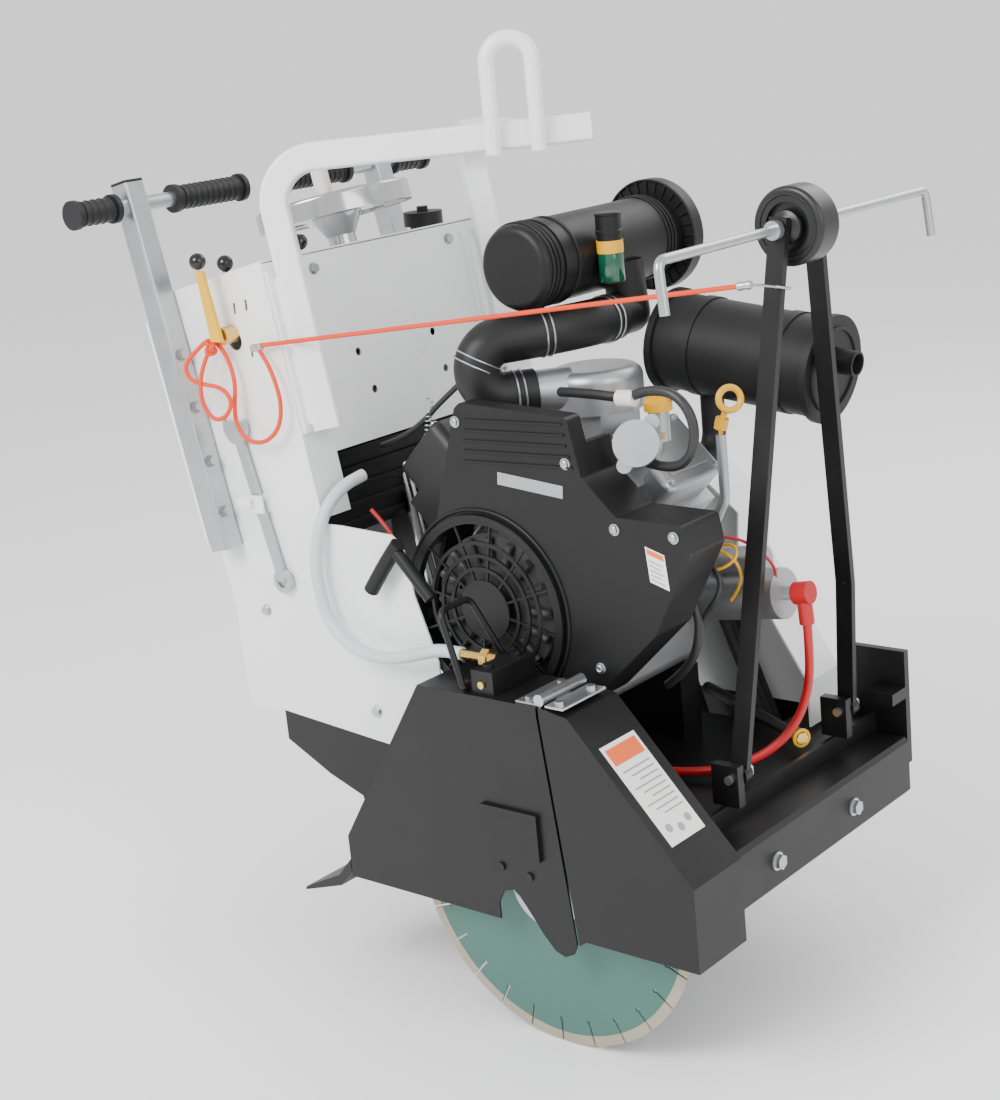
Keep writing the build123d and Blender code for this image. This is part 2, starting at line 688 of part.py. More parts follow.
def dipstick():
    """The dipstick: stopper, ring and the rod in its tube."""
    x, y, z = DIPSTICK
    stem = rod((x, y, z - 60), (x, y, z), 3) + rod((x, y, z), (x + 4, y, z + 14), 9)
    hoop_face = Plane(origin=(x + 16, y + 2, z + 40), z_dir=(0.75, -0.6, 0.2))
    hoop = hoop_face * Torus(15, 4.5)
    return stem + hoop + rod((x + 4, y, z + 12), (x + 10, y + 1, z + 27), 4)


def starter_motor():
    """The starter's body, solenoid and red terminal boot."""
    start, end = (90, 262, 338), (224, 262, 356)
    body = rod(start, end, 34)
    solenoid = rod((118, 262, 388), (196, 262, 398), 20) + rod((150, 262, 360), (151, 262, 396), 14)
    neck = rod(end, (238, 262, 358), 9)
    return [body + solenoid + neck]


def terminal_boot():
    """The red rubber boot over the starter's terminal."""
    return rod((240, 262, 358), (263, 262, 362), 15) + rod((252, 262, 360), (254, 263.9, 318.1), 10)


def air_cleaner():
    """The remote canister, its end disc, outlet elbow and service indicator."""
    x, z = CANISTER
    body = across(x, z, 190, 505, 58)
    body = fillet(body.edges().group_by(Axis.Y)[0], 12)
    disc = across(x, z, 505, 525, 80)
    hx, hy, hz = HOSE_ROUTE[0]
    outlet = rod((x + 34, hy + 35, z - 20), (hx, hy + 35, hz), 29) + Pos(hx, hy + 35, hz) * Sphere(29)
    mouth = rod((hx, hy + 35, hz), (hx, hy + 2.3, hz), 29)
    stalk = block((x + 50, x + 66), (304, 316), (z - 8, z + 8))
    gauge = rod((x + 74, 310, z - 36), (x + 74, 310, z + 58), 17)
    return body + disc + outlet + mouth + stalk + gauge


CANISTER = (-126.0, 788.0)
HOSE_ROUTE = [(-84, 351, 697), (-87, 301, 697), (-100, 250, 697), (-126, 203, 695), (-154.8, 164.6, 693.5),
              (-168, 147, 671.5), (-168, 147, 640.5), (-154.8, 164.6, 618.5), (-122, 208.3, 618)]
DOME = (-79.0, 289.0)


def intake_hose():
    """The large rubber elbow from the canister round to the intake."""
    return cord("intake_hose", HOSE_ROUTE, 32)


def intake_dome():
    """The aluminium intake cover over the carburettor."""
    x, y = DOME
    end = Vector(*HOSE_ROUTE[-1])
    along = (end - Vector(*HOSE_ROUTE[-2])).normalized()
    neck = rod(end + along * 0.3, end + along * 50, 29)
    dome = rod((x, y, 582), (x, y, 640), 66)
    dome = fillet(dome.edges().group_by(Axis.Z)[-1], 16)
    carb = block((x - 40, x + 38), (y - 45, y + 45), (532, 584))
    return dome + neck + carb


def fuel_pump():
    """The round pulse pump with its two ears, on a bent bracket."""
    face = Plane(origin=(90, 150.5, 572), x_dir=(0.4, 0.45, 0.8), z_dir=(0.45, -0.85, 0.25))
    body = extrude(face * Circle(30), amount=28)
    ears = extrude(face * SlotOverall(86, 20), amount=10)
    stand = prism([(50, 505), (66, 505), (112, 545), (112, 585), (72, 585), (66, 548), (50, 530)], 150.5, 154)
    foot = block((40, 64), (150.5, 191.5), (507, 521))
    return body + ears + stand + foot


MUFFLER_AXIS = Vector(0.9914, 0, -0.1305)
MUFFLER_END = Vector(212, 430, 618)
MUFFLER_LENGTH = 258.0


def muffler():
    """The pitched exhaust can with its rims, strap, tailpipe and inlet."""
    start = MUFFLER_END - MUFFLER_AXIS * MUFFLER_LENGTH
    body = rod(start, MUFFLER_END, 68)
    for at in (-MUFFLER_LENGTH, -10):
        a = MUFFLER_END + MUFFLER_AXIS * at
        b = a + MUFFLER_AXIS * 10
        body = body + rod(a, b, 74)
    tail = MUFFLER_END + Vector(0, 0, 14)
    out = tail + MUFFLER_AXIS * 38
    body = body + rod(tail, out, 17)
    body = body - rod((tail + MUFFLER_AXIS * 8), (out + MUFFLER_AXIS), 14)
    inlet = bent_bar([(15, 430, 600), (15, 430, 487), (15, 326.3, 487)], 40, 17)
    return body + inlet


# ---------------------------------------------------------------- controls

SCREW_DIR = Vector(-math.sin(math.radians(12)), 0, math.cos(math.radians(12)))
WHEEL_HUB = Vector(-556, 300, 858)


def screw_line(low, high, radius):
    """A bar on the depth screw's axis, between two distances from the hub."""
    a = WHEEL_HUB + SCREW_DIR * low
    b = WHEEL_HUB + SCREW_DIR * high
    return rod(a, b, radius)


def depth_handwheel():
    """The depth handwheel: hub, web, rim and the screw below."""
    place = Plane(origin=WHEEL_HUB, x_dir=(0, 1, 0), z_dir=SCREW_DIR)
    rim = place * (Cylinder(118, 26) - Cylinder(108, 40))
    web = place * Pos(0, 0, -8) * (Cylinder(110, 5) - Cylinder(40, 10))
    openings = None
    for i in range(3):
        hole = Rot(0, 0, 120 * i) * Pos(74, 0, 0) * Cylinder(24, 60)
        openings = hole if openings is None else openings + hole
    web = web - place * openings
    hub = place * Pos(0, 0, -24) * Cone(22, 42, 34)
    screw = screw_line(-598, -30, 11)
    collar = screw_line(-58, -38, 21)
    return rim + web + hub + collar + screw


KNOB = WHEEL_HUB + Vector(60, -72, 12)


def handwheel_knob():
    """The free-turning crank knob on the handwheel's rim."""
    low = KNOB + SCREW_DIR * -4
    high = KNOB + SCREW_DIR * 92
    return rod(low, high, 12.5)


THROTTLE_FOOT = (-599.0, 104.0, 756.0)
THROTTLE_BALL = (-594.0, 103.0, 806.0)
CHOKE_FOOT = (-509.0, 158.0, 786.0)
CHOKE_BALL = (-492.0, 158.0, 829.0)


def ball_lever(foot, top, ball):
    """A thin lever with a ball knob and a pivot boss."""
    boss = across(foot[0], foot[2], foot[1] - 5, foot[1] + 5, 5.5)
    return rod(foot, top, 4) + boss + Pos(*top) * Sphere(ball)


def water_lever():
    """The yellow-sleeved valve lever beside the right side sheet."""
    lever = prism([(-560, 706), (-538, 706), (-560, 806), (-574, 806)], 27, 33)
    return lever + Pos(-569, 30, 820) * Sphere(12)


def water_valve():
    """The quarter-turn water valve behind the lever."""
    body = across(-548, 712, 36, 59.7, 13)
    return body


def fuel_tank():
    """The tank inside the console, with its filler neck through the top."""
    tank = prism([(-505, 700), (-500, 640), (-640, 640), (-670, 700)], 345, 525)
    neck = rod((-561, 500, 690), (-561, 500, 806), 22)
    return tank + neck


def fuel_cap():
    """The black filler cap."""
    return rod((-561, 500, 806.3), (-561, 500, 828), 31) + rod((-561, 500, 828), (-561, 500, 836), 9)


def battery():
    """The starting battery on the rear of the deck, inside the console."""
    return block((-540, -420), (330, 510), (252, 400))


def battery_shelf():
    """The shelf that carries the battery between the frame's sides."""
    inner = (SIDE_Y[0] + SHEET + PLATE, SIDE_Y[1] - SHEET - PLATE)
    return block((-545, -400), inner, (240, 250))


def stop_button():
    """The red mushroom stop button on the rear panel."""
    stem = rod((-702, 420, 690), (-735, 420, 690), 9)
    return stem + rod((-718, 420, 690), (-735, 420, 690), 20)


# ---------------------------------------------------------------- running gear

def wheel(x, z, y, radius, width, bore):
    """A tyre with its hub, turning on a plain bore."""
    tyre = across(x, z, y - width / 2, y + width / 2, radius)
    tyre = fillet(tyre.edges(), 6)
    dish = ring(x, z, y - width / 2 - 1, y - width / 2 + 8, radius * 0.62, radius * 0.3)
    other = ring(x, z, y + width / 2 - 8, y + width / 2 + 1, radius * 0.62, radius * 0.3)
    hub = across(x, z, y - width / 2 - 3, y + width / 2 + 3, radius * 0.28)
    return (tyre - dish - other + hub) - across(x, z, y - width, y + width, bore)


def front_yoke():
    """The swinging front axle: pivot tube and two arms cranked under the blade shaft."""
    px, pz = YOKE_PIVOT
    ax, az = FRONT_AXLE
    axle = across(ax, az, 84, 454, AXLE_R)
    pivot = across(px, pz, 140, 400, 15)
    dip = -46
    yoke = axle + pivot
    for y in (148, 384):
        for start, end in (((px, pz), (0, dip)), ((0, dip), (ax, az))):
            yoke = yoke + flat_link(start, end, 13, y, y + 12)
        yoke = yoke + across(0, dip, y, y + 12, 13)
    return yoke - across(px, pz, 100, 450, AXLE_R + RUN)


def flat_link(start, end, half, y0, y1):
    """A flat bar between two (x, z) points, half its width each side."""
    dx, dz = end[0] - start[0], end[1] - start[1]
    length = math.hypot(dx, dz)
    nx, nz = -dz / length * half, dx / length * half
    return prism([(start[0] + nx, start[1] + nz), (end[0] + nx, end[1] + nz),
                  (end[0] - nx, end[1] - nz), (start[0] - nx, start[1] - nz)], y0, y1)


# ---------------------------------------------------------------- pointer

def pointer_bar(foot, top, width=25.0, thick=10.0):
    """A flat bar between two points, its width along X."""
    along = Vector(*top) - Vector(*foot)
    place = Plane(origin=foot, x_dir=(1, 0, 0.0001), z_dir=along)
    return extrude(place * Rectangle(width, thick), amount=along.length)


def pointer_arms():
    """Two converging flat bars with their pivot eyes."""
    x0, z0 = POINTER_PIVOT_X, POINTER_PIVOT_Z
    x1, z1 = POINTER_WHEEL
    right_y, left_y = POINTER_FEET_Y
    near = pointer_bar((x0, right_y, z0), (x1, 262, z1 + 14))
    bend = (x0 + 14, 436, 320)
    far = pointer_bar((x0, left_y, z0), bend) + pointer_bar(bend, (x1, 338, z1 + 14))
    far = far + Pos(*bend) * Sphere(6)
    arms = near + far
    for y in POINTER_FEET_Y:
        arms = arms + across(x0, z0, y - 8, y + 8, 15)
    return arms - across(x1, z1, 200, 400, 6.5) - across(x0, z0, 100, 500, PIN_R + RUN)


def pointer_rod():
    """The sighting rod through the wheel, with both ends bent down."""
    x, z = POINTER_WHEEL
    line = bent_bar([(x + 6, -2, z - 62), (x, 0, z), (x, 634, z), (x + 6, 636, z - 62)], 12, 6.2)
    nuts = [across(x, z, y0, y1, 12) for y0, y1 in ((242, 252), (349.5, 359.5))]
    return line + nuts[0] + nuts[1]


def pointer_pins():
    """The bolts that the pointer's feet turn on."""
    x0, z0 = POINTER_PIVOT_X, POINTER_PIVOT_Z
    pins = []
    for y in POINTER_FEET_Y:
        pin = across(x0, z0, y - 30, y + 14, PIN_R)
        head = Plane(origin=(x0, y + 9, z0), z_dir=(0, 1, 0))
        pins.append(pin + extrude(head * RegularPolygon(11, 6), amount=8))
    return pins


# ---------------------------------------------------------------- hoses, cable, rope

HOSE_R = 9.0
WATER_ROUTE = [(-388, 128, 500), (-391, 92, 494), (-396, 60, 474), (-408, 44, 432), (-416, 39, 374),
               (-402, 36, 312), (-366, 32, 280), (-316, 28, 268), (-262, 25, 272), (-210, 20, 288),
               (-168, 14, 302), (-126, 14, 302)]
CABLE_R = 6.0
CABLE_ROUTE = [(254, 264, 318), (252, 268, 286), (244, 280, 250), (232, 292, 214), (218, 292, 176),
               (198, 280, 142), (170, 262, 118), (136, 240, 104), (96, 220, 98), (50, 205, 96), (8, 196, 97)]
ROPE_R = 3.2
LINE = ((245, 179, 772), (-480, 46, 700))
LOOP_ROUTE = [(-486, 46, 697), (-468, 43, 681), (-454, 42, 653), (-445, 41, 618), (-455, 40, 583),
              (-487, 40, 560), (-525, 40, 560), (-544, 40, 583), (-543, 40, 611), (-537, 42, 641),
              (-544, 44, 671), (-558, 43, 696), (-575, 38, 709), (-592, 30, 695), (-615, 19, 673),
              (-610, 20, 650), (-584, 26, 643), (-554, 30, 640), (-533, 29, 622), (-545, 27, 599),
              (-572, 26, 590), (-590, 23, 610), (-589, 20, 640), (-582, 25, 672), (-568, 32, 697)]


def pointer_line():
    """The taut stretch of the pointer's pull line."""
    return rod(*LINE, ROPE_R)


def wrench():
    """The open-ended spanner in its clip on the right side sheet."""
    top, foot = (-560, 575), (-500, 350)
    shank = pointer_bar((foot[0], 52, foot[1]), (top[0], 52, top[1]), 16, 6)
    head = across(top[0], top[1], 49, 55, 24) - block((-580, -540), (40, 60), (585, 610))
    ring_end = across(foot[0], foot[1], 49, 55, 18) - across(foot[0], foot[1], 40, 60, 10)
    return shank + head + ring_end


def wrench_clip():
    """The clip that holds the spanner, with its wing nut."""
    clip = block((-548, -516), (44, 59.7), (452, 478)) - block((-560, -500), (47.5, 56.5), (440, 490))
    nut = across(-548, 468, 36, 44, 7) + block((-562, -534), (37, 40), (462, 474))
    return clip + nut


def main():
    os.makedirs("parts", exist_ok=True)
    emit("frame", *frame_plates(), *axle_hangers(), battery_shelf())
    emit("front_weight_bar", weight_bar())
    emit("hex_bolts", *fasteners(), *pointer_pins())
    emit("console_sides", *console_sides(), wrench_clip())
    emit("console_front", console_front())
    emit("console_top", console_top())
    emit("lift_frame", lift_frame())
    emit("handlebars", *handlebars())
    emit("grips_and_caps", *handle_grips(), *post_caps())
    emit("blade_core", blade_core())
    emit("blade_segments", *blade_segments())
    emit("blade_flanges", *blade_flanges())
    emit("blade_shaft", blade_shaft())
    emit("shaft_bearings", *shaft_bearings())
    emit("blade_pulley", pulley(0, 0, BLADE_PULLEY_R, SHAFT_R))
    emit("engine_pulley", pulley(*CRANK, ENGINE_PULLEY_R, CRANK_R))
    emit("drive_belts", *drive_belts())
    emit("belt_guard", belt_guard())
    emit("guard_rear", guard_rear(), *guard_block())
    emit("guard_front", guard_front())
    emit("hinge_leaf_rear", hinge_leaf(-1))
    emit("hinge_leaf_front", hinge_leaf(1))
    emit("guard_handle", guard_handle())
    emit("brass_fittings", *brass_fittings(), water_valve())
    emit("splash_flap", splash_flap())
    emit("engine_block", engine_block())
    emit("cylinder_heads", *cylinder_heads())
    emit("valve_covers", *valve_covers())
    emit("blower_housing", *blower_housing())
    emit("crankshaft", crankshaft())
    emit("oil_cap", oil_cap())
    emit("dipstick", dipstick())
    emit("starter_motor", *starter_motor())
    emit("air_cleaner", air_cleaner())
    emit("intake_hose", intake_hose())
    emit("intake_dome", intake_dome())
    emit("fuel_pump", fuel_pump())
    emit("muffler", muffler())
    emit("depth_handwheel", depth_handwheel())
    emit("handwheel_knob", handwheel_knob())
    emit("water_lever", water_lever())
    emit("throttle_lever", ball_lever(THROTTLE_FOOT, THROTTLE_BALL, 12))
    emit("choke_lever", ball_lever(CHOKE_FOOT, CHOKE_BALL, 12))
    emit("fuel_tank", fuel_tank())
    emit("fuel_cap", fuel_cap())
    emit("battery", battery())
    emit("stop_button", stop_button())
    for side, y in zip(("right", "left"), REAR_WHEEL_Y):
        emit(f"rear_wheel_{side}", wheel(*REAR_AXLE, y, REAR_WHEEL_R, 50, AXLE_R + RUN))
    for side, y in zip(("right", "left"), FRONT_WHEEL_Y):
        emit(f"front_wheel_{side}", wheel(*FRONT_AXLE, y, FRONT_WHEEL_R, 36, AXLE_R + RUN))
    emit("front_yoke", front_yoke())
    emit("pointer_arms", pointer_arms())
    emit("pointer_rod", pointer_rod())
    emit("pointer_wheel", wheel(*POINTER_WHEEL, 300, POINTER_WHEEL_R, 45, 6.25))
    emit("water_hose", cord("water_hose", WATER_ROUTE, HOSE_R))
    emit("battery_cable", cord("battery_cable", CABLE_ROUTE, CABLE_R), terminal_boot())
    emit("pointer_line", pointer_line())
    emit("slack_loop", cord("slack_loop", LOOP_ROUTE, ROPE_R))
    emit("wrench", wrench())


main()
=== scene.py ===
import json
import math

import bmesh
import bpy
from mathutils import Euler, Matrix, Vector


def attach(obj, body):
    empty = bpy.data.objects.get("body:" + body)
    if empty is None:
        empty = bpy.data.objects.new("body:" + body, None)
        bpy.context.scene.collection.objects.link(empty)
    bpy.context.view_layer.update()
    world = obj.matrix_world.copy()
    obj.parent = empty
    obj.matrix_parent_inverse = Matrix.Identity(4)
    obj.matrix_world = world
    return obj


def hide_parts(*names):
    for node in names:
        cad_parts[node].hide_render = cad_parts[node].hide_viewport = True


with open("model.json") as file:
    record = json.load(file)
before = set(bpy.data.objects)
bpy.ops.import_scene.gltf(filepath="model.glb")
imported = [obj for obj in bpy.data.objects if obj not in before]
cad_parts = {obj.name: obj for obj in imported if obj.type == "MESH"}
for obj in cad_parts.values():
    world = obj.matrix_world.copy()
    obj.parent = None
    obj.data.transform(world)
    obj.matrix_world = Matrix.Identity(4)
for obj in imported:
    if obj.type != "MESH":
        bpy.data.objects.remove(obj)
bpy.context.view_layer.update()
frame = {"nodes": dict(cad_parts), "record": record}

# Places are given in millimetres from the blade's centre, as in the part's source, and
# at() turns one into metres in the part's frame.
MM = 0.001
BLADE_R = 228.6
ORIGIN = Vector((-218.5, 300.0, -BLADE_R))


def at(x, y, z):
    """A place on the machine, in metres in the part's frame."""
    return (Vector((x, y, z)) - ORIGIN) * MM


def around(u, v, angle):
    """A direction in the plane of u and v, at an angle in radians from u."""
    return u * math.cos(angle) + v * math.sin(angle)


# ------------------------------------------------------------ camera and light

CAMERA_PLACE = at(1540, -1794, 1110)
AZIMUTH, ELEVATION, ROLL = 41.195, 15.258, -5.588
LENS = 63.51
AIM = (0, 0, 0.6)
SKY_STRENGTH = 1.2
FLOOR_HALF = 12.0
FLOOR_DROP = 0.0005


def add_camera():
    """The photo's own view, fitted to the machine's straight edges."""
    data = bpy.data.cameras.new("camera")
    data.lens = LENS
    camera = bpy.data.objects.new("camera", data)
    bpy.context.collection.objects.link(camera)
    turn = Euler((math.radians(90 - ELEVATION), 0, math.radians(AZIMUTH))).to_matrix().to_4x4()
    roll = Matrix.Rotation(math.radians(ROLL), 4, "Z")
    camera.matrix_world = Matrix.Translation(CAMERA_PLACE) @ turn @ roll
    bpy.context.scene.camera = camera


def add_area_light(name, place, size, power):
    data = bpy.data.lights.new(name, "AREA")
    data.shape = "RECTANGLE"
    data.size = size
    data.size_y = size
    data.energy = power
    light = bpy.data.objects.new(name, data)
    bpy.context.collection.objects.link(light)
    light.location = place
    light.rotation_euler = (Vector(AIM) - Vector(place)).to_track_quat("-Z", "Y").to_euler()


def add_studio():
    """A white sky, three soft lights and a plain pale floor just under the object."""
    world = bpy.data.worlds.new("studio")
    bpy.context.scene.world = world
    world.use_nodes = True
    sky = world.node_tree.nodes["Background"]
    sky.inputs["Color"].default_value = (1, 1, 1, 1)
    sky.inputs["Strength"].default_value = SKY_STRENGTH
    add_area_light("key", (-0.4, -3.4, 3.2), 2.0, 190)
    add_area_light("fill", (3.4, -0.8, 2.2), 2.4, 55)
    add_area_light("rim", (0.4, 3.2, 3.0), 2.4, 60)
    mesh = bpy.data.meshes.new("floor")
    corners = [(x * FLOOR_HALF, y * FLOOR_HALF, 0) for x, y in ((-1, -1), (1, -1), (1, 1), (-1, 1))]
    mesh.from_pydata(corners, [], [(0, 1, 2, 3)])
    floor = bpy.data.objects.new("floor", mesh)
    bpy.context.collection.objects.link(floor)
    floor.location.z = -FLOOR_DROP
    mesh.materials.append(surface("floor_pale", (0.97, 0.97, 0.97), 0.85, grain=30, bump=0.02, mottle=0.005))


# ------------------------------------------------------------------- materials

ROUGH_SPREAD = 0.09
COAT_ROUGH = 0.12


def surface(name, color, rough, metal=0.0, grain=900, bump=0.15, depth=0.0001, mottle=0.06,
            patch=14, coat=0.0, transmission=0.0, specular=0.5):
    """A finish with fine grain in the bump, and slow changes in colour and roughness."""
    mat = bpy.data.materials.new(name)
    mat.use_nodes = True
    nodes, links = mat.node_tree.nodes, mat.node_tree.links
    shader = nodes["Principled BSDF"]
    shader.inputs["Metallic"].default_value = metal
    shader.inputs["Coat Weight"].default_value = coat
    shader.inputs["Coat Roughness"].default_value = COAT_ROUGH
    shader.inputs["Specular IOR Level"].default_value = specular
    shader.inputs["Transmission Weight"].default_value = transmission
    place = nodes.new("ShaderNodeTexCoord")

    fine = nodes.new("ShaderNodeTexNoise")
    fine.inputs["Scale"].default_value = grain
    fine.inputs["Detail"].default_value = 4
    links.new(place.outputs["Object"], fine.inputs["Vector"])
    height = nodes.new("ShaderNodeBump")
    height.inputs["Strength"].default_value = bump
    height.inputs["Distance"].default_value = depth
    links.new(fine.outputs["Fac"], height.inputs["Height"])
    links.new(height.outputs["Normal"], shader.inputs["Normal"])

    slow = nodes.new("ShaderNodeTexNoise")
    slow.inputs["Scale"].default_value = patch
    slow.inputs["Detail"].default_value = 6
    links.new(place.outputs["Object"], slow.inputs["Vector"])
    tint = nodes.new("ShaderNodeMix")
    tint.data_type = "RGBA"
    tint.inputs["A"].default_value = (*[c * (1 - mottle) for c in color], 1)
    tint.inputs["B"].default_value = (*[min(1, c * (1 + mottle) + mottle * 0.02) for c in color], 1)
    links.new(slow.outputs["Fac"], tint.inputs["Factor"])
    links.new(tint.outputs["Result"], shader.inputs["Base Color"])
    spread = nodes.new("ShaderNodeMapRange")
    spread.inputs["To Min"].default_value = max(0.03, rough - ROUGH_SPREAD)
    spread.inputs["To Max"].default_value = min(1.0, rough + ROUGH_SPREAD)
    links.new(slow.outputs["Fac"], spread.inputs["Value"])
    links.new(spread.outputs["Result"], shader.inputs["Roughness"])
    return mat


def split(mat, axis, limit, color, rough, metal=0.0):
    """Beyond a limit along one axis of the part, the finish changes to a second one."""
    nodes, links = mat.node_tree.nodes, mat.node_tree.links
    shader = nodes["Principled BSDF"]
    place = nodes.new("ShaderNodeTexCoord")
    parts = nodes.new("ShaderNodeSeparateXYZ")
    links.new(place.outputs["Object"], parts.inputs["Vector"])
    beyond = nodes.new("ShaderNodeMath")
    beyond.operation = "GREATER_THAN"
    beyond.inputs[1].default_value = limit
    links.new(parts.outputs[axis], beyond.inputs[0])
    tint = nodes.new("ShaderNodeMix")
    tint.data_type = "RGBA"
    links.new(shader.inputs["Base Color"].links[0].from_socket, tint.inputs["A"])
    tint.inputs["B"].default_value = (*color, 1)
    gloss = nodes.new("ShaderNodeMix")
    links.new(shader.inputs["Roughness"].links[0].from_socket, gloss.inputs["A"])
    gloss.inputs["B"].default_value = rough
    shine = nodes.new("ShaderNodeMix")
    shine.inputs["A"].default_value = shader.inputs["Metallic"].default_value
    shine.inputs["B"].default_value = metal
    for mix, socket in ((tint, "Base Color"), (gloss, "Roughness"), (shine, "Metallic")):
        links.new(beyond.outputs["Value"], mix.inputs["Factor"])
        links.new(mix.outputs["Result"], shader.inputs[socket])
    return mat


def turned(mat, centre, pitch, strength):
    """Fine rings round an axis along Y, as a lathe or grinder leaves them."""
    nodes, links = mat.node_tree.nodes, mat.node_tree.links
    shader = nodes["Principled BSDF"]
    place = nodes.new("ShaderNodeTexCoord")
    shift = nodes.new("ShaderNodeMapping")
    shift.inputs["Location"].default_value = -centre
    links.new(place.outputs["Object"], shift.inputs["Vector"])
    rings = nodes.new("ShaderNodeTexWave")
    rings.wave_type = "RINGS"
    rings.rings_direction = "Y"
    rings.inputs["Scale"].default_value = 1 / pitch
    rings.inputs["Distortion"].default_value = 0.6
    links.new(shift.outputs["Vector"], rings.inputs["Vector"])
    height = nodes.new("ShaderNodeBump")
    height.inputs["Strength"].default_value = strength
    height.inputs["Distance"].default_value = 0.0001
    links.new(rings.outputs["Fac"], height.inputs["Height"])
    links.new(shader.inputs["Normal"].links[0].from_socket, height.inputs["Normal"])
    links.new(height.outputs["Normal"], shader.inputs["Normal"])
    return mat


def braided(mat, pitch):
    """A rope's slanting strands, in the bump."""
    nodes, links = mat.node_tree.nodes, mat.node_tree.links
    shader = nodes["Principled BSDF"]
    place = nodes.new("ShaderNodeTexCoord")
    wave = nodes.new("ShaderNodeTexWave")
    wave.bands_direction = "DIAGONAL"
    wave.inputs["Scale"].default_value = 1 / pitch
    wave.inputs["Distortion"].default_value = 1.5
    links.new(place.outputs["Object"], wave.inputs["Vector"])
    height = nodes.new("ShaderNodeBump")
    height.inputs["Strength"].default_value = 0.6
    height.inputs["Distance"].default_value = 0.0006
    links.new(wave.outputs["Fac"], height.inputs["Height"])
    links.new(height.outputs["Normal"], shader.inputs["Normal"])
    return mat


ALLOY = (0.42, 0.43, 0.44)
ROD_ZINC = (0.66, 0.67, 0.68)
BALL_BLACK = (0.006, 0.006, 0.006)
BALL_ROUGH = 0.14

